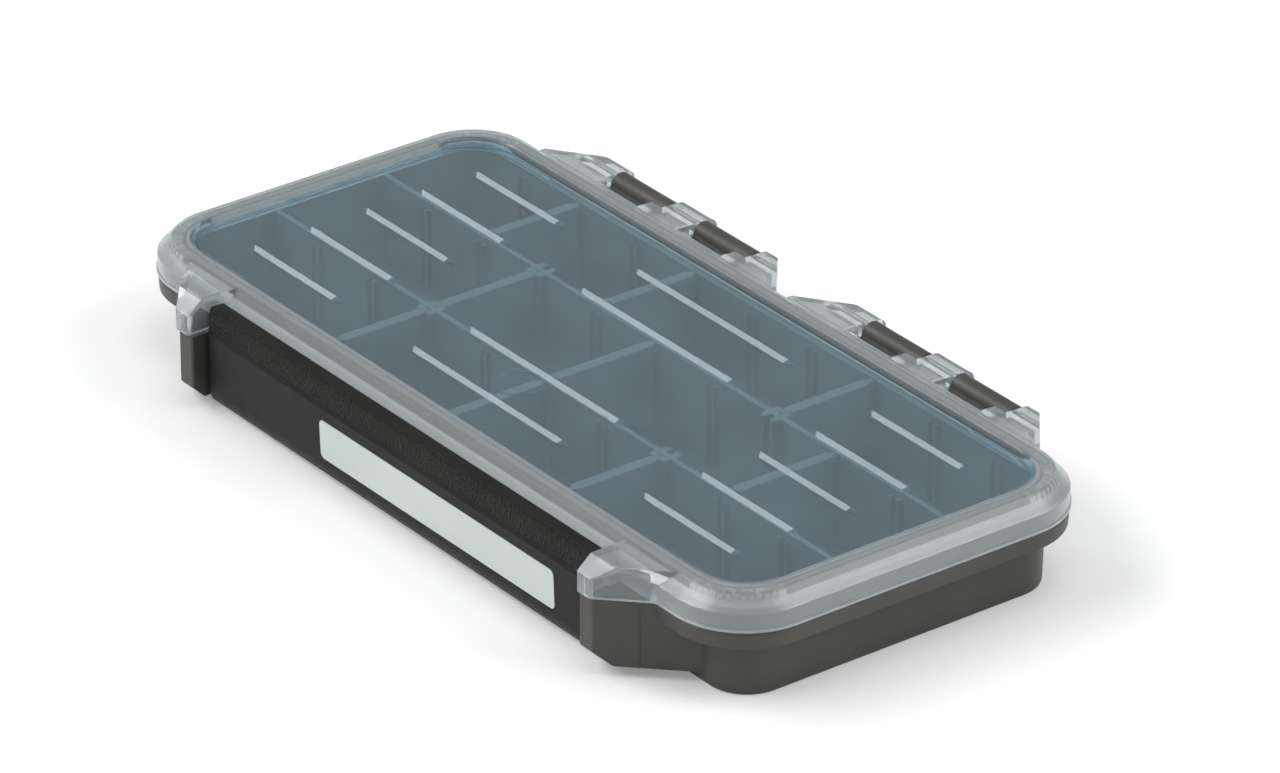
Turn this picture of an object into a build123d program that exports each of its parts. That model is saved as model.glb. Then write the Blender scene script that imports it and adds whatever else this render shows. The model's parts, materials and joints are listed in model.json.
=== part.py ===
from build123d import *
import math
import os

# All sizes are millimetres. X runs along the box, Y from the latch to the hinges, Z up.
# The origin is the middle of the underside.

# Outline of the closed lid seen from above
lid_length = 231.6
lid_width = 105.2
lid_corner_radius = 18.6

# Heights, from the underside up
tray_flange_top = 18.9
lid_gap = 0.6
lid_depth = 8.2

# Lid section
lid_wall = 1.5
lid_skirt_height = 4.5
rim_slope_width = 3.5
rim_top_width = 3.65
rim_inner_slope_width = 1.05
rim_rise = 1.85
rim_inner_corner_radius = 13.8
rim_edge_fillet = 0.6
skirt_lip_height = 0.7
skirt_lip_proud = 0.3

# Lid panel decoration
panel_rib_pitch = 16.0
panel_rib_rows = 5
panel_rib_width = 2.5
panel_rib_height = 0.9
panel_rib_crest_width = 0.5
panel_rib_point = 2.4
long_rib_length = 60.0
short_rib_from_end = 22.3
short_rib_length = 36.0
gate_ring_radius = 5.9
gate_ring_width = 0.5
gate_place = (-0.5, -23.2)
gate_nub_radius = 0.8
gate_relief = 0.25
end_bead_reach = 36.6
end_bead_width = 0.8
end_bead_height = 0.6

# Seal in the lid rim, and the ridge of the tray under it
seal_outer_inset = 4.2
seal_width = 1.8
seal_gap = 0.3
seal_rib_wall = 0.9
seal_rib_lap = 0.2
seal_rib_clearance = 0.3
ridge_height = 4.1
ridge_width = 1.3

# Tray body
body_inset = 6.1
body_front_setback = 1.2
body_corner_radius = 10.8
body_draft = 0.45
body_bottom_fillet = 0.8
tray_wall = 1.8
tray_floor = 1.8
tray_top_clearance = 0.5
flange_height = 3.75
flange_undercut = 0.3
flange_wall = 1.6
flange_edge_fillet = 0.5

# Fixed lengthwise walls, divider slots and dividers
row_wall_offset = 15.7
row_wall_thickness = 1.4
slot_pitch = 22.3
slot_rib_width = 0.9
slot_rib_proud = 1.2
slot_rib_drop = 1.5
post_size = 5.6
post_corner_radius = 1.2
post_slots = (-2, 2)
divider_thickness = 1.4
divider_side_clearance = 0.15
divider_end_clearance = 0.3
divider_crown_width = 2.8
divider_crown_height = 1.6
divider_crown_clearance = 0.3

# Front ears of tray and lid
lid_ear_from_end = 40.8
lid_ear_front_width = 4.7
lid_ear_reach = 10.6
tray_ear_from_end = 41.05
tray_ear_front_width = 4.85
tray_ear_reach = 9.7
ear_top_drop = 0.05
ear_chamfer_depth = 4.1
ear_chamfer_height = 3.4
ear_corner_radius = 0.6
ear_edge_radius = 0.5
ear_wall = 1.6
ear_foot_height = 2.65
ear_foot_chamfer = 3.2
ear_pocket_back = 1.9
ear_line_setback = 7.3
ear_line_width = 0.35
ear_line_proud = 0.15
ear_line_top = 16.5

# Hinge brackets on the lid, knuckles on the tray, and pins
hinge_setback = 6.7
hinge_axis_height = 23.2
bracket_from_end = 67.8
bracket_base_half = 45.0
bracket_end_half = 31.3
bracket_reach = 4.5
bracket_wall = 1.6
bracket_rim_height = 1.5
bracket_tip_drop = 2.1
bracket_tip_radius = 2.4
bracket_heel_radius = 3.4
lug_radius = 3.9
knuckle_radius = 2.9
knuckle_starts = (-23.9, 8.3)
knuckle_arm_width = 16.35
knuckle_lobe = 3.8
knuckle_side_gap = 0.35
knuckle_slot_notch = 0.8
knuckle_arm_start = 1.0
knuckle_arm_thickness = 2.4
pin_radius = 1.0
pin_running_fit = 0.06
pin_end_recess = 2.0

# Latch
latch_end_gap = 0.35
latch_end_radius = 3.0
latch_wall = 1.8
latch_bottom = 1.8
latch_toe_front = 5.6
latch_toe_height = 3.45
latch_foot_front = 6.0
latch_foot_height = 5.0
latch_front = 6.5
latch_belly_height = 19.4
latch_brow_front = 6.2
latch_brow_rise = 0.5
latch_shoulder_front = 5.5
latch_shoulder_drop = 2.05
latch_shoulder_radius = 3.0
latch_crest_front = 4.8
latch_crest_drop = 0.25
latch_crest_radius = 1.4
latch_top_below_rim = 2.25
latch_strip_front = 3.6
latch_strip_step = 0.15
latch_hook_back = 0.9
latch_hook_land = 1.8
latch_hook_gap = 0.5
latch_hook_bevel = 1.2
latch_hook_root = 0.5
latch_rib_pitch = 24.0
latch_rib_wall = 1.2
latch_rib_reach = 2.6

# Catch lip of the lid, under the latch hook
catch_reach = 3.4
catch_thickness = 2.0
catch_rise = 0.4
catch_root = 1.3
catch_slope_top = 3.9

# Latch pivots
pivot_setback = 2.6
pivot_height = 7.0
pivot_radius = 1.8
pivot_running_fit = 0.08
pivot_reach = 1.5
cheek_radius = 3.2
cheek_wall = 2.0
cheek_top = 13.0
cheek_web_back = 3.9

# Write-on panel on the latch
label_length = 89.3
label_height = 9.9
label_corner_radius = 1.4
label_from_end = 58.1
label_center_height = 11.6
label_depth = 0.5
label_proud = 0.1
label_clearance = 0.1

# Worked out from the sizes above
skirt_edge = tray_flange_top + lid_gap
rim_top = skirt_edge + lid_depth
panel_top = rim_top - rim_rise
panel_under = panel_top - lid_wall
rim_roof = rim_top - lid_wall
slope_base = skirt_edge + lid_skirt_height
slope_height = rim_top - slope_base
rim_inner_top_inset = rim_slope_width + rim_top_width
rim_foot_inset = rim_inner_top_inset + rim_inner_slope_width
tray_top = panel_under - tray_top_clearance
upper_wall_inset = seal_outer_inset + seal_width + seal_rib_wall + seal_rib_clearance
cavity_inset = upper_wall_inset + tray_wall
cavity_half_length = lid_length / 2 - cavity_inset
cavity_half_width = lid_width / 2 - cavity_inset
ridge_top = tray_flange_top + ridge_height
slots_each_side = int((lid_length / 2 - lid_corner_radius) // slot_pitch)
lid_ear_x = lid_length / 2 - lid_ear_from_end
tray_ear_x = lid_length / 2 - tray_ear_from_end
end_bead_start = lid_length / 2 - end_bead_reach
bracket_center_x = lid_length / 2 - bracket_from_end
front_edge = -lid_width / 2
back_edge = lid_width / 2
hinge_y = back_edge + hinge_setback
bracket_tip_y = hinge_y + bracket_reach
pivot_y = front_edge - pivot_setback
latch_half_length = tray_ear_x - latch_end_gap
label_center_x = latch_half_length - label_from_end
latch_top = rim_top - latch_top_below_rim
catch_nose_height = skirt_edge + catch_thickness
hook_low = catch_nose_height + catch_rise + latch_hook_gap
ear_top = rim_top - ear_top_drop
overcut = 1.0


# A rounded rectangle at an inset from the lid's outline
def outline(inset, corner_radius=None):
    radius = lid_corner_radius - inset if corner_radius is None else corner_radius
    return RectangleRounded(lid_length - 2 * inset, lid_width - 2 * inset, radius)


def prism(section, low, high):
    return Pos(0, 0, low) * extrude(section, high - low)


# A solid between two flat sections at two heights
def tapered(lower, low, upper, high):
    return loft([(Pos(0, 0, low) * lower).face(), (Pos(0, 0, high) * upper).face()], ruled=True)


def ring(outer_inset, inner_inset, low, high):
    return prism(outline(outer_inset) - outline(inner_inset), low, high)


# A solid whose YZ section is the given polygon, from one x to another; numbered corners can be rounded
def along_x(points, start, end, rounded=()):
    section = make_face(Polyline(*points, close=True))
    for number, radius in rounded:
        corner = section.vertices().sort_by_distance((*points[number], 0))[0]
        section = fillet(corner, radius)
    return Pos(start, 0, 0) * extrude(Plane.YZ * section, end - start)


def rod(radius, y, z, start, end):
    upright = Cylinder(radius, end - start, align=(Align.CENTER, Align.CENTER, Align.MIN))
    return Pos(start, y, z) * (Rot(0, 90, 0) * upright)


# A box given by its lowest and highest corners
def block(low, high):
    size = [b - a for a, b in zip(low, high)]
    return Pos(*low) * Box(*size, align=(Align.MIN,) * 3)


def mirrored(solid):
    return solid + mirror(solid, about=Plane.YZ)


# Plan of a right-hand ear, drawn in by an inset; its outer side slants at 45 degrees
def ear_plan(inner_x, front_width, reach, inset, back):
    front = front_edge - reach + inset
    slant = inner_x + front_width + reach - front_edge - inset * math.sqrt(2)
    inner = inner_x + inset
    corners = ((inner, front), (slant + front, front), (slant + back, back), (inner, back))
    plan = make_face(Polyline(*corners, close=True))
    return fillet(plan.vertices().group_by(Axis.Y)[0], ear_corner_radius)


# Right-hand lid ear, with the slope over its front face; an inset gives the hollow inside it
def lid_ear(inset, back):
    front = front_edge - lid_ear_reach
    top = ear_top - inset
    shoulder = ear_top - ear_chamfer_height - inset * math.tan(math.radians(20))
    profile = ((front, skirt_edge - inset), (front, shoulder), (front + ear_chamfer_depth, top), (back, top),
               (back, skirt_edge - inset))
    shifted = [(y + inset if number < 3 else y, z) for number, (y, z) in enumerate(profile)]
    plan = ear_plan(lid_ear_x, lid_ear_front_width, lid_ear_reach, inset, back)
    rounded = ((1, ear_edge_radius), (2, ear_edge_radius))
    return prism(plan, skirt_edge - inset, top) & along_x(shifted, lid_ear_x, lid_length / 2, rounded)


def lid_outer():
    skirt = prism(outline(0), skirt_edge, slope_base)
    lip = prism(outline(-skirt_lip_proud), skirt_edge, skirt_edge + skirt_lip_height)
    slope = tapered(outline(0), slope_base, outline(rim_slope_width), rim_top)
    recess = tapered(outline(rim_foot_inset, rim_inner_corner_radius), panel_top,
                     outline(rim_inner_top_inset, rim_inner_corner_radius + rim_inner_slope_width), rim_top)
    rim = skirt + slope - recess
    rim = fillet(rim.edges().filter_by(Plane.XY).group_by(Axis.Z)[-1], rim_edge_fillet)
    return rim + lip


# Hollow under the lid: the deep channel in the rim, and the space below the flat panel
def lid_hollow():
    slope_angle = math.atan2(slope_height, rim_slope_width)
    inner_slope_base = slope_base - lid_wall * math.tan((math.pi / 2 - slope_angle) / 2)
    roof_inset = lid_wall + (rim_roof - inner_slope_base) * rim_slope_width / slope_height
    channel = tapered(outline(lid_wall), inner_slope_base, outline(roof_inset), rim_roof)
    plug_foot = rim_foot_inset - lid_wall / 2
    plug_top = rim_inner_top_inset - lid_wall / 2
    plug_corner_radius = rim_inner_corner_radius + lid_wall / 2
    plug = tapered(outline(plug_foot, plug_corner_radius), panel_under,
                   outline(plug_top, plug_corner_radius + rim_inner_slope_width), rim_roof)
    return prism(outline(lid_wall), skirt_edge - overcut, inner_slope_base) + (channel - plug)


# Two thin ribs under the rim that hold the seal between them
def seal_ribs():
    low = ridge_top + seal_gap + seal_rib_lap
    inner_inset = seal_outer_inset + seal_width
    outer_rib = ring(seal_outer_inset - seal_rib_wall, seal_outer_inset, low, rim_roof)
    inner_rib = ring(inner_inset, inner_inset + seal_rib_wall, low, rim_roof)
    return outer_rib + inner_rib


# Front of the lid between the ears: the rim's slope runs on down to the lip that the latch hooks over
def catch_points():
    top = (front_edge + catch_slope_top, rim_top)
    root = (front_edge - catch_root, catch_nose_height + catch_rise)
    nose = (front_edge - catch_reach, catch_nose_height)
    return top, root, nose


def catch_cut():
    top, root, nose = catch_points()
    slope = (top[1] - root[1]) / (top[0] - root[0])
    above = (top[0] + overcut / slope, top[1] + overcut)
    far = front_edge - lid_ear_reach - overcut
    return along_x((above, root, nose, (far, nose[1]), (far, above[1])), -lid_ear_x, lid_ear_x)


def catch_lip():
    top, root, nose = catch_points()
    run = math.hypot(top[0] - root[0], top[1] - root[1])
    across = lid_wall * run / (top[1] - root[1])
    slope = (top[1] - root[1]) / (top[0] - root[0])
    inner_foot = (root[0] + across - (root[1] - skirt_edge) / slope, skirt_edge)
    inner_top = (inner_foot[0] + (rim_roof - skirt_edge) / slope, rim_roof)
    back = inner_top[0] + lid_wall
    points = (top, root, nose, (nose[0], skirt_edge), inner_foot, inner_top, (back, rim_roof), (back, rim_top))
    return along_x(points, -lid_ear_x - ear_wall / 2, lid_ear_x + ear_wall / 2)


# The two knuckles of the right-hand bracket: its start, the end of its arm and the end of its barrel
def knuckle_ranges():
    starts = [bracket_center_x + start for start in knuckle_starts]
    return [(low, low + knuckle_arm_width, low + knuckle_arm_width + knuckle_lobe) for low in starts]


# Both hinges have their knuckles in the same order, so the left one is the right one moved over
def both_hinges(solid):
    return [solid, Pos(-2 * bracket_center_x, 0, 0) * solid]


# Plan of one hinge bracket, wide at the lid and narrower at the pin
def bracket_plan(inset):
    root = back_edge - lid_wall
    base_half = bracket_base_half - inset * 1.2
    end_half = bracket_end_half - inset * 1.2
    right_side = ((base_half, root), (base_half, back_edge), (end_half, bracket_tip_y))
    left_side = [(-x, y) for x, y in reversed(right_side)]
    return Pos(bracket_center_x, 0) * make_face(Polyline(*right_side, *left_side, close=True))


# Height of the bracket's top, which falls gently from the rim to the tip
def bracket_top(y):
    root = back_edge - lid_wall
    fall = (bracket_tip_drop - bracket_rim_height) * (y - root) / (bracket_tip_y - root)
    return rim_top - bracket_rim_height - fall


# Side view of the bracket: a web from the rim to the rounded tip about the pin
def bracket_web(start, end):
    root = back_edge - lid_wall
    points = ((root, skirt_edge), (root, bracket_top(root)), (bracket_tip_y, bracket_top(bracket_tip_y)),
              (bracket_tip_y, skirt_edge))
    return along_x(points, start, end, ((2, bracket_tip_radius), (3, bracket_heel_radius)))


# The gap for one knuckle: narrow for its arm, wider for its barrel, and cut a little into the rim's slope
def knuckle_slot(low, arm_high, barrel_high):
    far = bracket_tip_y + overcut
    left = low - knuckle_side_gap
    arm = block((left, back_edge, 0), (arm_high + knuckle_side_gap, far, rim_top + overcut))
    notch = block((left, back_edge - knuckle_slot_notch, slope_base),
                  (arm_high + knuckle_side_gap, back_edge + overcut, rim_top + overcut))
    lobe_front = hinge_y - knuckle_radius - knuckle_side_gap
    lobe = block((left, lobe_front, 0), (barrel_high + knuckle_side_gap, far, rim_top + overcut))
    return arm + notch + lobe


def hinge_bracket():
    start = bracket_center_x - bracket_base_half
    end = bracket_center_x + bracket_base_half
    body = prism(bracket_plan(0), 0, rim_top) & bracket_web(start, end)
    hollow_back = hinge_y - lug_radius + bracket_wall / 2
    under = along_x(((back_edge, 0), (back_edge, bracket_top(back_edge) - bracket_wall),
                     (hollow_back, bracket_top(hollow_back) - bracket_wall), (hollow_back, 0)), start, end)
    hollow = prism(bracket_plan(bracket_wall), 0, rim_top) & under
    side = knuckle_side_gap + bracket_wall
    for low, arm_high, barrel_high in knuckle_ranges():
        hollow = hollow - block((low - side, back_edge - overcut, 0), (barrel_high + side, hinge_y, rim_top))
    body = body - hollow
    for low, arm_high, barrel_high in knuckle_ranges():
        body = body - knuckle_slot(low, arm_high, barrel_high)
    return body - rod(pin_radius + pin_running_fit, hinge_y, hinge_axis_height, start, end)


# A long shape with pointed ends
def pointed_strip(length, width, point):
    right_side = ((length / 2 - point, -width / 2), (length / 2, 0), (length / 2 - point, width / 2))
    left_side = [(-x, -y) for x, y in right_side]
    return make_face(Polyline(*right_side, *left_side, close=True))


def panel_rib(length):
    low = pointed_strip(length, panel_rib_width, panel_rib_point)
    high = pointed_strip(length - panel_rib_point, panel_rib_crest_width, panel_rib_crest_width)
    return tapered(low, panel_top, high, panel_top + panel_rib_height)


# Raised ribs on the panel: short ones at both ends of every row, long ones in all rows but the middle
def panel_ribs():
    ribs = []
    middle_row = panel_rib_rows // 2
    for row in range(panel_rib_rows):
        y = (row - middle_row) * panel_rib_pitch
        short_center = lid_length / 2 - short_rib_from_end - short_rib_length / 2
        ribs += [Pos(side * short_center, y, 0) * panel_rib(short_rib_length) for side in (-1, 1)]
        if row != middle_row:
            ribs.append(Pos(0, y, 0) * panel_rib(long_rib_length))
    return ribs


# Moulding gate mark: a thin raised ring with a nub in its middle
def gate_mark():
    sketch = Circle(gate_ring_radius) - Circle(gate_ring_radius - gate_ring_width) + Circle(gate_nub_radius)
    return Pos(*gate_place, 0) * prism(sketch, panel_top, panel_top + gate_relief)


# Thin bead at the foot of the rim, round both ends of the panel
def end_beads():
    outer = outline(rim_foot_inset, rim_inner_corner_radius)
    inner = outline(rim_foot_inset + end_bead_width, rim_inner_corner_radius - end_bead_width)
    bead = prism(outer - inner, panel_top, panel_top + end_bead_height)
    middle = block((-end_bead_start, front_edge, panel_top), (end_bead_start, back_edge, rim_top))
    return bead - middle


def lid_shell():
    shell = lid_outer() + mirrored(lid_ear(0, front_edge + rim_slope_width))
    shell = shell - lid_hollow() - mirrored(lid_ear(ear_wall, front_edge))
    shell = shell - catch_cut() + catch_lip() + seal_ribs() - lid_seal()
    for low, arm_high, barrel_high in knuckle_ranges():
        shell = shell - both_hinges(knuckle_slot(low, arm_high, barrel_high))
    shell = shell + both_hinges(hinge_bracket())
    return shell + panel_ribs() + gate_mark() + end_beads()


def lid_seal():
    return ring(seal_outer_inset, seal_outer_inset + seal_width, ridge_top + seal_gap, rim_roof)


# Outline of the tray's body, drawn in by its draft; the front is set back further, behind the latch
def body_outline(draft):
    length = lid_length - 2 * (body_inset + draft)
    width = lid_width - 2 * (body_inset + draft) - body_front_setback
    return Pos(0, body_front_setback / 2) * RectangleRounded(length, width, body_corner_radius - draft)


# Walls and floor of the tray, with the outer flange and the ridge under the seal
def tray_shell():
    top = body_outline(0)
    flange_low = tray_flange_top - flange_height
    flange_under = tray_flange_top - flange_wall
    body = tapered(body_outline(body_draft), 0, top, flange_low) + prism(top, flange_low, flange_under)
    body = fillet(body.edges().filter_by(Plane.XY).group_by(Axis.Z)[0], body_bottom_fillet)
    flange = tapered(outline(flange_undercut), flange_low, outline(0), tray_flange_top)
    flange = fillet(flange.edges().filter_by(Plane.XY).group_by(Axis.Z)[-1], flange_edge_fillet)
    channel = prism(outline(flange_undercut + flange_wall) - top, flange_low - overcut, flange_under)
    ridge_inset = seal_outer_inset + (seal_width - ridge_width) / 2
    ridge = ring(ridge_inset, ridge_inset + ridge_width, flange_under, ridge_top)
    upper_wall = prism(outline(upper_wall_inset), flange_under, tray_top)
    return body + (flange - channel) + upper_wall + ridge


# Two fixed walls along the box, dividing it into three rows
def row_walls():
    walls = []
    for side in (-1, 1):
        y = side * row_wall_offset
        half_length = cavity_half_length + overcut / 2
        low = (-half_length, y - row_wall_thickness / 2, tray_floor - overcut / 2)
        walls.append(block(low, (half_length, y + row_wall_thickness / 2, tray_top)))
    return walls


# Inner faces of each row, front and back
def row_limits():
    near = row_wall_offset - row_wall_thickness / 2
    far = row_wall_offset + row_wall_thickness / 2
    return {"front": (-cavity_half_width, -far), "centre": (-near, near), "back": (far, cavity_half_width)}


# Pairs of small ribs that make the slots in which the dividers stand
def slot_ribs():
    ribs = []
    reach = divider_thickness / 2 + divider_side_clearance
    high = tray_top - slot_rib_drop
    for low_y, high_y in row_limits().values():
        for number in range(-slots_each_side, slots_each_side + 1):
            x = number * slot_pitch
            for start in (x - reach - slot_rib_width, x + reach):
                end = start + slot_rib_width
                for wall, into in ((low_y, 1), (high_y, -1)):
                    if number in post_slots and abs(wall) < cavity_half_width:
                        continue
                    faces = sorted((wall - into * overcut / 2, wall + into * slot_rib_proud))
                    ribs.append(block((start, faces[0], tray_floor - overcut / 2), (end, faces[1], high)))
    return ribs


# Square posts on the row walls, slotted front and back for the dividers
def slot_posts():
    posts = []
    slot_half = divider_thickness / 2 + divider_side_clearance
    section = RectangleRounded(post_size, post_size, post_corner_radius)
    section = section - Pos(0, post_size / 2) * Rectangle(2 * slot_half, post_size - row_wall_thickness)
    section = section - Pos(0, -post_size / 2) * Rectangle(2 * slot_half, post_size - row_wall_thickness)
    for side in (-1, 1):
        for number in post_slots:
            place = Pos(number * slot_pitch, side * row_wall_offset, 0)
            posts.append(place * prism(section, tray_floor - overcut / 2, tray_top))
    return posts


# Right-hand tray ear: a hollow horn with a sloped foot, holding one latch pivot
def tray_ear():
    back = front_edge + body_inset + body_front_setback + tray_wall / 2
    front = front_edge - tray_ear_reach
    profile = ((front, tray_flange_top), (front, ear_foot_height + ear_foot_chamfer),
               (front + ear_foot_chamfer, ear_foot_height), (back, ear_foot_height), (back, tray_flange_top))
    rounded = ((0, ear_edge_radius), (1, ear_edge_radius), (2, ear_edge_radius))
    plan = ear_plan(tray_ear_x, tray_ear_front_width, tray_ear_reach, 0, back)
    horn = prism(plan, ear_foot_height, tray_flange_top)
    return (horn & along_x(profile, tray_ear_x, lid_length / 2, rounded)) + ear_line()


# Fine raised mould line down the slanted side of the ear
def ear_line():
    x = tray_ear_x + tray_ear_front_width + ear_line_setback
    y = front_edge - tray_ear_reach + ear_line_setback
    line = Box(ear_line_width, 2 * ear_line_proud, ear_line_top - ear_foot_height)
    return Pos(x, y, (ear_line_top + ear_foot_height) / 2) * (Rot(0, 0, 45) * line)


def tray_ear_pocket():
    back = front_edge + ear_pocket_back
    front = front_edge - tray_ear_reach + ear_wall
    floor = ear_foot_height + ear_wall
    top = tray_flange_top + overcut
    profile = ((front, top), (front, floor + ear_foot_chamfer), (front + ear_foot_chamfer, floor),
               (back, floor), (back, top))
    inner = prism(ear_plan(tray_ear_x, tray_ear_front_width, tray_ear_reach, ear_wall, back), floor, top)
    return inner & along_x(profile, tray_ear_x, lid_length / 2)


# One hinge knuckle of the tray: an arm that rises from the flange, and a longer barrel at its top
def knuckle(low, arm_high, barrel_high):
    root = back_edge - flange_wall
    arm_foot = back_edge + knuckle_arm_start
    under = tray_flange_top - flange_height
    lean = math.atan2(hinge_axis_height - tray_flange_top, hinge_y - arm_foot)
    offset_y = knuckle_radius * math.sin(lean)
    offset_z = knuckle_radius * math.cos(lean)
    top = (hinge_y - offset_y, hinge_axis_height + offset_z)
    bottom = (hinge_y + offset_y, hinge_axis_height - offset_z)
    points = ((root, under), (root, tray_flange_top), (arm_foot, tray_flange_top), top, bottom,
              (arm_foot + knuckle_arm_thickness, under))
    barrel = rod(knuckle_radius, hinge_y, hinge_axis_height, low, barrel_high)
    bore = rod(pin_radius, hinge_y, hinge_axis_height, low - overcut, barrel_high + overcut)
    return along_x(points, low, arm_high) + barrel - bore


def base_tray():
    tray = tray_shell() + mirrored(tray_ear())
    cavity = prism(outline(cavity_inset), tray_floor, tray_top + overcut)
    tray = tray - cavity - mirrored(tray_ear_pocket())
    tray = tray + row_walls() + slot_posts() + slot_ribs()
    for low, arm_high, barrel_high in knuckle_ranges():
        tray = tray + both_hinges(knuckle(low, arm_high, barrel_high))
    bore_end = tray_ear_x + ear_wall + overcut
    bore = rod(pivot_radius + pivot_running_fit, pivot_y, pivot_height, tray_ear_x - overcut, bore_end)
    return tray - mirrored(bore)


# A loose divider plate with a thicker crown, standing in a pair of slots of one row
def divider(row, number):
    front, back = row_limits()[row]
    x = number * slot_pitch
    plate = block((x - divider_thickness / 2, front + divider_end_clearance, tray_floor),
                  (x + divider_thickness / 2, back - divider_end_clearance, tray_top))
    reach = slot_rib_proud
    if number in post_slots:
        reach = (post_size - row_wall_thickness) / 2
    inset = reach + divider_crown_clearance
    crown = block((x - divider_crown_width / 2, front + inset, tray_top - divider_crown_height),
                  (x + divider_crown_width / 2, back - inset, tray_top))
    return plate + crown


# The loose dividers of the three rows, by the slot that each stands in
divider_places = {
    "divider_back_left": ("back", -3),
    "divider_back_middle": ("back", -1),
    "divider_back_right": ("back", 2),
    "divider_centre_left": ("centre", -2),
    "divider_centre_middle": ("centre", 0),
    "divider_centre_right": ("centre", 3),
    "divider_front_left": ("front", -2),
    "divider_front_middle": ("front", 0),
    "divider_front_right": ("front", 2),
}


# The pin lies in all the lugs and knuckles of one bracket
def hinge_pin(side):
    narrowing = (bracket_base_half - bracket_end_half) * hinge_setback / (hinge_setback + bracket_reach)
    half = bracket_base_half - narrowing - pin_end_recess
    low = side * bracket_center_x - half
    return rod(pin_radius, hinge_y, hinge_axis_height, low, low + 2 * half)


# The latch bar: a leaning front, rounded over the top into a hook that points back
def latch_profile():
    foot = (front_edge - latch_foot_front, latch_foot_height)
    belly = (front_edge - latch_front, latch_belly_height)
    brow = (front_edge - latch_brow_front, latch_belly_height + latch_brow_rise)
    shoulder = (front_edge - latch_shoulder_front, latch_top - latch_shoulder_drop)
    crest = (front_edge - latch_crest_front, latch_top - latch_crest_drop)
    strip_front = front_edge - latch_strip_front
    strip_top = latch_top - latch_strip_step
    hook_back = front_edge - latch_hook_back
    land_back = front_edge - latch_hook_land
    inner = front_edge - latch_front + latch_wall
    toe = (front_edge - latch_toe_front, latch_toe_height)
    back_foot = foot[0] + latch_wall
    outside = (foot, belly, brow, shoulder, crest, (strip_front - latch_strip_step, latch_top))
    hook = ((strip_front, strip_top), (hook_back, strip_top), (hook_back, hook_low + latch_hook_bevel),
            (land_back, hook_low), (inner + latch_hook_root, hook_low))
    inside = ((inner, latch_belly_height), (back_foot, latch_foot_height), (back_foot, latch_bottom),
              (toe[0] + latch_wall / 2, latch_bottom), toe)
    rounded = ((3, latch_shoulder_radius), (4, latch_crest_radius))
    return along_x((*outside, *hook, *inside), -latch_half_length, latch_half_length, rounded)


# End wall at each end of the latch, which carries its pivot
def latch_cheek(start, end):
    front = front_edge - latch_front + latch_wall / 2
    web_back = front_edge - cheek_web_back
    points = ((front_edge - latch_foot_front, latch_foot_height), (front, latch_belly_height),
              (front, hook_low), (web_back, hook_low), (web_back, cheek_top),
              (pivot_y + cheek_radius, pivot_height), (pivot_y, pivot_height - cheek_radius),
              (front_edge - latch_toe_front, latch_toe_height))
    return along_x(points, start, end) + rod(cheek_radius, pivot_y, pivot_height, start, end)


def latch_rib(x):
    front = front_edge - latch_front + latch_wall / 2
    inner = front_edge - latch_front + latch_wall + latch_rib_reach
    points = ((front, pivot_height), (front, hook_low), (front + latch_wall, tray_flange_top),
              (inner, cheek_top), (inner, pivot_height), (front + latch_wall, latch_foot_height))
    return along_x(points, x - latch_rib_wall / 2, x + latch_rib_wall / 2)


# Upright block with the latch's plan, its front corners rounded
def latch_plan_block():
    depth = latch_front + overcut
    plan = Pos(0, front_edge - latch_front + depth / 2) * Rectangle(2 * latch_half_length, depth)
    plan = fillet(plan.vertices().group_by(Axis.Y)[0], latch_end_radius)
    return prism(plan, 0, rim_top)


# The plane of the latch's leaning front face, at the middle of the label
def label_plane():
    lean = (latch_front - latch_foot_front) / (latch_belly_height - latch_foot_height)
    y = front_edge - latch_foot_front - lean * (label_center_height - latch_foot_height)
    return Plane(origin=(label_center_x, y, label_center_height), x_dir=(1, 0, 0), z_dir=(0, -1, -lean))


def label_block(grow, low, high):
    section = RectangleRounded(label_length + 2 * grow, label_height + 2 * grow, label_corner_radius + grow)
    return label_plane() * prism(section, low, high)


def latch_bar():
    cheek = latch_cheek(latch_half_length - cheek_wall, latch_half_length)
    bar = latch_profile() + mirrored(cheek)
    rib_count = int((latch_half_length - latch_rib_pitch / 2) // latch_rib_pitch)
    for number in range(-rib_count, rib_count + 1):
        bar = bar + latch_rib(number * latch_rib_pitch)
    bar = bar & latch_plan_block()
    pivot_start = latch_half_length - cheek_wall
    pivot = rod(pivot_radius, pivot_y, pivot_height, pivot_start, tray_ear_x + pivot_reach)
    return bar + mirrored(pivot) - label_block(label_clearance, -label_depth, overcut)


def latch_label():
    return label_block(0, -label_depth, label_proud)


def save(name, shape):
    export_step(shape, "parts/" + name + ".step")


os.makedirs("parts", exist_ok=True)
save("base_tray", base_tray())
for divider_name, (divider_row, divider_slot) in divider_places.items():
    save(divider_name, divider(divider_row, divider_slot))
save("hinge_pin_left", hinge_pin(-1))
save("hinge_pin_right", hinge_pin(1))
save("lid_shell", lid_shell())
save("lid_seal", lid_seal())
save("latch_bar", latch_bar())
save("latch_label", latch_label())
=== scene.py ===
import json
import math
import bpy
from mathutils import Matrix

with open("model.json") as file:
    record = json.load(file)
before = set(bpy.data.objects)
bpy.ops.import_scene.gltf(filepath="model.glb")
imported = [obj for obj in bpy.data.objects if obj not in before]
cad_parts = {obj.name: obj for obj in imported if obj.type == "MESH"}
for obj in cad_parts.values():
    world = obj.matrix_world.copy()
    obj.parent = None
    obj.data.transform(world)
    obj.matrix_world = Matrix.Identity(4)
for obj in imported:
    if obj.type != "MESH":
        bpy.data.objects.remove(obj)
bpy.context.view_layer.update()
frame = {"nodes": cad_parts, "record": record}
scene = bpy.context.scene
print("frame loaded")

# Camera at the photograph's viewing angle; place in metres, angles in degrees, lens in millimetres
camera = {
    "place": (1.3728, -1.0254, 0.9268),
    "azimuth": 52.953,
    "elevation": 27.943,
    "lens": 238.9,
    "sensorWidth": 36,
    "farthest": 50,
}


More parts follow.
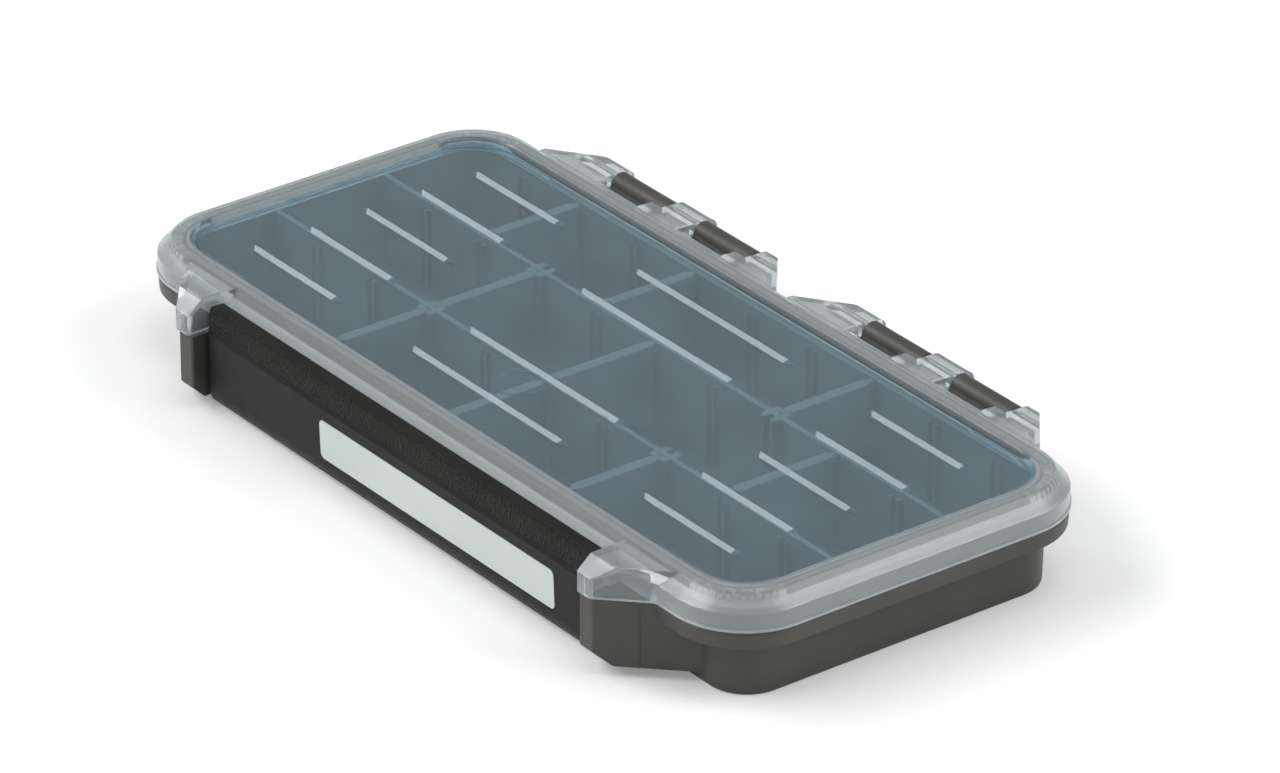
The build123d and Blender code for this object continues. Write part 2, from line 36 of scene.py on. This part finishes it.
def addCamera():
    tilt = (math.radians(90 - camera["elevation"]), 0, math.radians(camera["azimuth"]))
    bpy.ops.object.camera_add(location=camera["place"], rotation=tilt)
    made = bpy.context.object
    made.name = "photoCamera"
    made.data.lens = camera["lens"]
    made.data.sensor_width = camera["sensorWidth"]
    made.data.clip_end = camera["farthest"]
    scene.camera = made


# Helpers for materials; noise scales are per metre, bump distances are metres
def newMaterial(name):
    material = bpy.data.materials.new(name)
    material.use_nodes = True
    tree = material.node_tree
    return material, tree, tree.nodes["Principled BSDF"]


# An input takes a plain value or a link from another node
def feed(tree, socket, value):
    if isinstance(value, bpy.types.NodeSocket):
        tree.links.new(value, socket)
    else:
        socket.default_value = value


def objectPoint(tree, scale=(1, 1, 1)):
    coordinates = tree.nodes.new("ShaderNodeTexCoord")
    mapping = tree.nodes.new("ShaderNodeMapping")
    mapping.inputs["Scale"].default_value = scale
    tree.links.new(coordinates.outputs["Object"], mapping.inputs["Vector"])
    return mapping.outputs["Vector"]


# A point's x, y and z as separate values
def pointParts(tree):
    split = tree.nodes.new("ShaderNodeSeparateXYZ")
    coordinates = tree.nodes.new("ShaderNodeTexCoord")
    tree.links.new(coordinates.outputs["Object"], split.inputs["Vector"])
    return split.outputs["X"], split.outputs["Y"], split.outputs["Z"]


def noise(tree, point, scale, detail=2):
    texture = tree.nodes.new("ShaderNodeTexNoise")
    texture.inputs["Scale"].default_value = scale
    texture.inputs["Detail"].default_value = detail
    tree.links.new(point, texture.inputs["Vector"])
    return texture.outputs["Fac"]


def remap(tree, value, low, high, fromLow=0, fromHigh=1):
    node = tree.nodes.new("ShaderNodeMapRange")
    node.inputs["From Min"].default_value = fromLow
    node.inputs["From Max"].default_value = fromHigh
    node.inputs["To Min"].default_value = low
    node.inputs["To Max"].default_value = high
    tree.links.new(value, node.inputs["Value"])
    return node.outputs["Result"]


noiseReach = (0.3, 0.7)  # noise seldom leaves these values


# Noise stretched to run from low to high
def cloud(tree, point, scale, detail, low=0, high=1):
    return remap(tree, noise(tree, point, scale, detail), low, high, *noiseReach)


def calculate(tree, operation, first, second=0):
    node = tree.nodes.new("ShaderNodeMath")
    node.operation = operation
    feed(tree, node.inputs[0], first)
    feed(tree, node.inputs[1], second)
    return node.outputs[0]


def mixValues(tree, factor, first, second):
    node = tree.nodes.new("ShaderNodeMix")
    feed(tree, node.inputs[0], factor)
    feed(tree, node.inputs[2], first)
    feed(tree, node.inputs[3], second)
    return node.outputs[0]


def blendColours(tree, factor, first, second):
    node = tree.nodes.new("ShaderNodeMix")
    node.data_type = "RGBA"
    feed(tree, node.inputs[0], factor)
    feed(tree, node.inputs[6], first)
    feed(tree, node.inputs[7], second)
    return node.outputs[2]


# Each layer is a height, a strength and a distance
def joinBumps(tree, shader, layers):
    previous = None
    for height, strength, distance in layers:
        node = tree.nodes.new("ShaderNodeBump")
        node.inputs["Strength"].default_value = strength
        node.inputs["Distance"].default_value = distance
        tree.links.new(height, node.inputs["Height"])
        if previous is not None:
            tree.links.new(previous, node.inputs["Normal"])
        previous = node.outputs["Normal"]
    tree.links.new(previous, shader.inputs["Normal"])


# Height band and width where a highlight is painted on the wall and divider tops
wallTop = {
    "start": 0.02378,
    "full": 0.02383,
    "halfWidth": 0.0465,  # leaves out the hinge knuckles, which are as high
}


# Painted highlight: paler top edges of the walls and dividers, just under the lid
def paintedTopHighlight(tree, plain, pale):
    x, y, z = pointParts(tree)
    inside = calculate(tree, "LESS_THAN", calculate(tree, "ABSOLUTE", y), wallTop["halfWidth"])
    high = remap(tree, z, 0, 1, wallTop["start"], wallTop["full"])
    return blendColours(tree, calculate(tree, "MULTIPLY", high, inside), plain, pale)


tray = {
    "dark": (0.052, 0.051, 0.045, 1),
    "light": (0.069, 0.067, 0.059, 1),
    # top: a painted highlight on the top edges of the tray walls
    "top": (0.125, 0.133, 0.131, 1),
    "roughness": (0.40, 0.52),
    "tintScale": 40,
    "roughnessScale": 300,
    "waveScale": 60,
    "waveStrength": 0.25,
    "grainScale": 2600,
    "grainStrength": 0.10,
    "bumpDepth": 0.0002,
}


def trayPlastic():
    material, tree, shader = newMaterial("trayPlastic")
    point = objectPoint(tree)
    tint = cloud(tree, point, tray["tintScale"], 3)
    plain = blendColours(tree, tint, tray["dark"], tray["light"])
    # Base colour, with a painted highlight on the top edges
    feed(tree, shader.inputs["Base Color"], paintedTopHighlight(tree, plain, tray["top"]))
    uneven = noise(tree, point, tray["roughnessScale"])
    feed(tree, shader.inputs["Roughness"], remap(tree, uneven, *tray["roughness"]))
    joinBumps(tree, shader, [
        (noise(tree, point, tray["waveScale"]), tray["waveStrength"], tray["bumpDepth"]),
        (noise(tree, point, tray["grainScale"]), tray["grainStrength"], tray["bumpDepth"]),
    ])
    return material


divider = {
    "dark": (0.080, 0.084, 0.082, 1),
    "light": (0.105, 0.110, 0.108, 1),
    # top: a painted highlight on the top edges of the dividers
    "top": (0.130, 0.132, 0.124, 1),
    "roughness": (0.36, 0.48),
    "tintScale": 60,
    "roughnessScale": 300,
    "waveScale": 80,
    "waveStrength": 0.2,
    "bumpDepth": 0.0002,
}


def dividerPlastic():
    material, tree, shader = newMaterial("dividerPlastic")
    point = objectPoint(tree)
    tint = cloud(tree, point, divider["tintScale"], 3)
    plain = blendColours(tree, tint, divider["dark"], divider["light"])
    # Base colour, with a painted highlight on the top edges
    feed(tree, shader.inputs["Base Color"], paintedTopHighlight(tree, plain, divider["top"]))
    uneven = noise(tree, point, divider["roughnessScale"])
    feed(tree, shader.inputs["Roughness"], remap(tree, uneven, *divider["roughness"]))
    wave = noise(tree, point, divider["waveScale"])
    joinBumps(tree, shader, [(wave, divider["waveStrength"], divider["bumpDepth"])])
    return material


lid = {
    "halfLength": 0.1158,
    "halfWidth": 0.0526,
    "cornerRadius": 0.0186,
    "rimFoot": 0.0079,  # how far inside the outline the flat panel starts
    "rimBlend": 0.0006,
    "earBlend": 0.0012,
    "panelColour": (0.60, 0.78, 0.88, 1),
    "rimColour": (0.65, 0.69, 0.695, 1),
    "panelClear": 0.93,
    "rimClear": 0.74,
    "earClear": 0.84,
    "cloudScale": 45,
    "cloudReach": 0.008,
    "panelRoughness": (0.03, 0.07),
    "rimRoughness": (0.21, 0.29),
    "earRoughness": (0.07, 0.12),
    "streakScale": 260,
    "streakStretch": (0.2, 1, 1),
    "refraction": 1.49,
    "lampShare": 0.88,
    "lampTint": (0.84, 0.90, 0.92, 1),
}


# How far a point lies inside the lid's rounded outline, in metres
def rimInset(tree):
    x, y, z = pointParts(tree)
    radius = lid["cornerRadius"]
    overX = calculate(tree, "SUBTRACT", calculate(tree, "ABSOLUTE", x), lid["halfLength"] - radius)
    overY = calculate(tree, "SUBTRACT", calculate(tree, "ABSOLUTE", y), lid["halfWidth"] - radius)
    squareX = calculate(tree, "POWER", calculate(tree, "MAXIMUM", overX), 2)
    squareY = calculate(tree, "POWER", calculate(tree, "MAXIMUM", overY), 2)
    beyond = calculate(tree, "SQRT", calculate(tree, "ADD", squareX, squareY))
    inside = calculate(tree, "MINIMUM", calculate(tree, "MAXIMUM", overX, overY))
    return calculate(tree, "SUBTRACT", radius, calculate(tree, "ADD", beyond, inside))


# Lamp light goes nearly straight through the lid, so the tray below isn't left dark
def passLampLight(tree, shader):
    passing = tree.nodes.new("ShaderNodeBsdfTransparent")
    passing.inputs["Color"].default_value = lid["lampTint"]
    path = tree.nodes.new("ShaderNodeLightPath")
    mixed = tree.nodes.new("ShaderNodeMixShader")
    share = calculate(tree, "MULTIPLY", path.outputs["Is Shadow Ray"], lid["lampShare"])
    tree.links.new(share, mixed.inputs[0])
    tree.links.new(shader.outputs[0], mixed.inputs[1])
    tree.links.new(passing.outputs[0], mixed.inputs[2])
    tree.links.new(mixed.outputs[0], tree.nodes["Material Output"].inputs["Surface"])


# Clear over the flat panel, milkier in the thick rim, in between on the ears and brackets
def clearPlastic():
    material, tree, shader = newMaterial("clearPlastic")
    inset = rimInset(tree)
    onPanel = remap(tree, inset, 0, 1, lid["rimFoot"] - lid["rimBlend"], lid["rimFoot"])
    offLid = remap(tree, inset, 1, 0, -lid["earBlend"], 0)
    outerClear = remap(tree, offLid, lid["rimClear"], lid["earClear"])
    plainClear = mixValues(tree, onPanel, outerClear, lid["panelClear"])
    reach = lid["cloudReach"]
    uneven = cloud(tree, objectPoint(tree), lid["cloudScale"], 3, -reach, reach)
    feed(tree, shader.inputs["Transmission Weight"], calculate(tree, "ADD", plainClear, uneven))
    tint = blendColours(tree, onPanel, lid["rimColour"], lid["panelColour"])
    feed(tree, shader.inputs["Base Color"], tint)
    streaks = noise(tree, objectPoint(tree, lid["streakStretch"]), lid["streakScale"], 3)
    panelRoughness = remap(tree, streaks, *lid["panelRoughness"])
    rimRoughness = remap(tree, streaks, *lid["rimRoughness"])
    earRoughness = remap(tree, streaks, *lid["earRoughness"])
    outerRoughness = mixValues(tree, offLid, rimRoughness, earRoughness)
    feed(tree, shader.inputs["Roughness"], mixValues(tree, onPanel, outerRoughness, panelRoughness))
    shader.inputs["IOR"].default_value = lid["refraction"]
    passLampLight(tree, shader)
    return material


seal = {
    "dark": (0.52, 0.55, 0.54, 1),
    "light": (0.60, 0.63, 0.62, 1),
    "roughness": 0.55,
    "tintScale": 80,
    "grainScale": 900,
    "grainStrength": 0.2,
    "bumpDepth": 0.0001,
}


def sealRubber():
    material, tree, shader = newMaterial("sealRubber")
    point = objectPoint(tree)
    tint = cloud(tree, point, seal["tintScale"], 2)
    feed(tree, shader.inputs["Base Color"], blendColours(tree, tint, seal["dark"], seal["light"]))
    shader.inputs["Roughness"].default_value = seal["roughness"]
    grain = noise(tree, point, seal["grainScale"])
    joinBumps(tree, shader, [(grain, seal["grainStrength"], seal["bumpDepth"])])
    return material


latch = {
    "dark": (0.012, 0.0125, 0.011, 1),
    "light": (0.018, 0.019, 0.0165, 1),
    "roughness": (0.44, 0.56),
    "shine": 0.18,
    "tintScale": 50,
    "roughnessScale": 300,
    "fineScale": 2600,
    "fineStrength": 0.10,
    "fineDepth": 0.0002,
    "leatherScale": 1600,
    "creaseScale": 960,
    "leatherStrength": 0.9,
    "leatherDepth": 0.0005,
    "leatherStart": 0.0200,
    "leatherFull": 0.0206,
    "leatherBack": -0.0562,
}


# Leather-like grain over the rounded top, smooth on the front and on the strip behind the crest
def latchPlastic():
    material, tree, shader = newMaterial("latchPlastic")
    point = objectPoint(tree)
    x, y, z = pointParts(tree)
    above = remap(tree, z, 0, 1, latch["leatherStart"], latch["leatherFull"])
    ahead = calculate(tree, "LESS_THAN", y, latch["leatherBack"])
    onLeather = calculate(tree, "MULTIPLY", above, ahead)
    tint = cloud(tree, point, latch["tintScale"], 3)
    feed(tree, shader.inputs["Base Color"], blendColours(tree, tint, latch["dark"], latch["light"]))
    uneven = noise(tree, point, latch["roughnessScale"])
    feed(tree, shader.inputs["Roughness"], remap(tree, uneven, *latch["roughness"]))
    shader.inputs["Specular IOR Level"].default_value = latch["shine"]
    cells = tree.nodes.new("ShaderNodeTexVoronoi")
    cells.inputs["Scale"].default_value = latch["leatherScale"]
    tree.links.new(point, cells.inputs["Vector"])
    creases = noise(tree, point, latch["creaseScale"], 3)
    leather = calculate(tree, "ADD", cells.outputs["Distance"], creases)
    leather = calculate(tree, "MULTIPLY", leather, onLeather)
    joinBumps(tree, shader, [
        (noise(tree, point, latch["fineScale"]), latch["fineStrength"], latch["fineDepth"]),
        (leather, latch["leatherStrength"], latch["leatherDepth"]),
    ])
    return material


label = {
    "dark": (0.66, 0.74, 0.72, 1),
    "light": (0.71, 0.78, 0.76, 1),
    "roughness": (0.5, 0.64),
    "tintScale": 60,
    "roughnessScale": 500,
    "grainScale": 5000,
    "grainStrength": 0.12,
    "bumpDepth": 0.00005,
}


def labelFilm():
    material, tree, shader = newMaterial("labelFilm")
    point = objectPoint(tree)
    tint = cloud(tree, point, label["tintScale"], 2)
    feed(tree, shader.inputs["Base Color"], blendColours(tree, tint, label["dark"], label["light"]))
    uneven = noise(tree, point, label["roughnessScale"])
    feed(tree, shader.inputs["Roughness"], remap(tree, uneven, *label["roughness"]))
    grain = noise(tree, point, label["grainScale"])
    joinBumps(tree, shader, [(grain, label["grainStrength"], label["bumpDepth"])])
    return material


pin = {
    "colour": (0.56, 0.56, 0.57, 1),
    "roughness": (0.22, 0.4),
    "scratchScale": 3000,
    "scratchStretch": (0.05, 1, 1),
}


# Drawn steel rod, with fine scratches along its length
def pinSteel():
    material, tree, shader = newMaterial("pinSteel")
    scratches = noise(tree, objectPoint(tree, pin["scratchStretch"]), pin["scratchScale"])
    feed(tree, shader.inputs["Roughness"], remap(tree, scratches, *pin["roughness"]))
    shader.inputs["Base Color"].default_value = pin["colour"]
    shader.inputs["Metallic"].default_value = 1
    return material


def dressNodes():
    finishes = {
        "tray_plastic": trayPlastic(),
        "divider_plastic": dividerPlastic(),
        "clear_plastic": clearPlastic(),
        "seal_rubber": sealRubber(),
        "latch_plastic": latchPlastic(),
        "label_film": labelFilm(),
        "pin_steel": pinSteel(),
    }
    for part in frame["record"]["subparts"]:
        node = frame["nodes"][part["node"]]
        node.data.materials.clear()
        node.data.materials.append(finishes[part["material_slot"]])


# Floor, lamps and sky; the lamps all point at the middle of the underside
floor = {
    "size": 30.0,
    "colour": (0.80, 0.80, 0.80, 1),
    "roughness": 0.9,
    "shine": 0.1,
    "glow": 0.23,
}

lamps = {
    "keyLamp": {"place": (-1.045, -1.246, 1.626), "size": (2.3, 1.0), "power": 36.0},
    "sideLamp": {"place": (1.35, 1.16, 1.29), "size": (1.3, 1.3), "power": 20.0},
    "topLamp": {"place": (0.5, 0.2, 2.6), "size": (1.2, 1.2), "power": 12.0},
}

sky = {
    "colour": (1, 1, 1, 1),
    "strength": 0.30,
}


# The glow is seen by the camera, in reflections and through the lid, and lights nothing
def addFloor():
    bpy.ops.mesh.primitive_plane_add(size=floor["size"], location=(0, 0, 0))
    plane = bpy.context.object
    plane.name = "floor"
    material, tree, shader = newMaterial("paleFloor")
    shader.inputs["Base Color"].default_value = floor["colour"]
    shader.inputs["Roughness"].default_value = floor["roughness"]
    shader.inputs["Specular IOR Level"].default_value = floor["shine"]
    path = tree.nodes.new("ShaderNodeLightPath")
    seen = calculate(tree, "MAXIMUM", path.outputs["Is Camera Ray"], path.outputs["Is Glossy Ray"])
    seen = calculate(tree, "MAXIMUM", seen, path.outputs["Is Transmission Ray"])
    glow = tree.nodes.new("ShaderNodeEmission")
    feed(tree, glow.inputs["Strength"], calculate(tree, "MULTIPLY", seen, floor["glow"]))
    both = tree.nodes.new("ShaderNodeAddShader")
    tree.links.new(shader.outputs[0], both.inputs[0])
    tree.links.new(glow.outputs[0], both.inputs[1])
    tree.links.new(both.outputs[0], tree.nodes["Material Output"].inputs["Surface"])
    plane.data.materials.append(material)


def addLamps():
    for name, values in lamps.items():
        bpy.ops.object.light_add(type="AREA", location=values["place"])
        lamp = bpy.context.object
        lamp.name = name
        lamp.data.shape = "RECTANGLE"
        lamp.data.size, lamp.data.size_y = values["size"]
        lamp.data.energy = values["power"]
        lamp.rotation_euler = (-lamp.location).to_track_quat("-Z", "Y").to_euler()


def addSky():
    world = bpy.data.worlds.new("studioWorld")
    world.use_nodes = True
    scene.world = world
    background = world.node_tree.nodes["Background"]
    background.inputs["Color"].default_value = sky["colour"]
    background.inputs["Strength"].default_value = sky["strength"]


addCamera()
dressNodes()
print("materials done")
addFloor()
addLamps()
addSky()
scene.view_settings.view_transform = "Standard"
print("floor and light done")
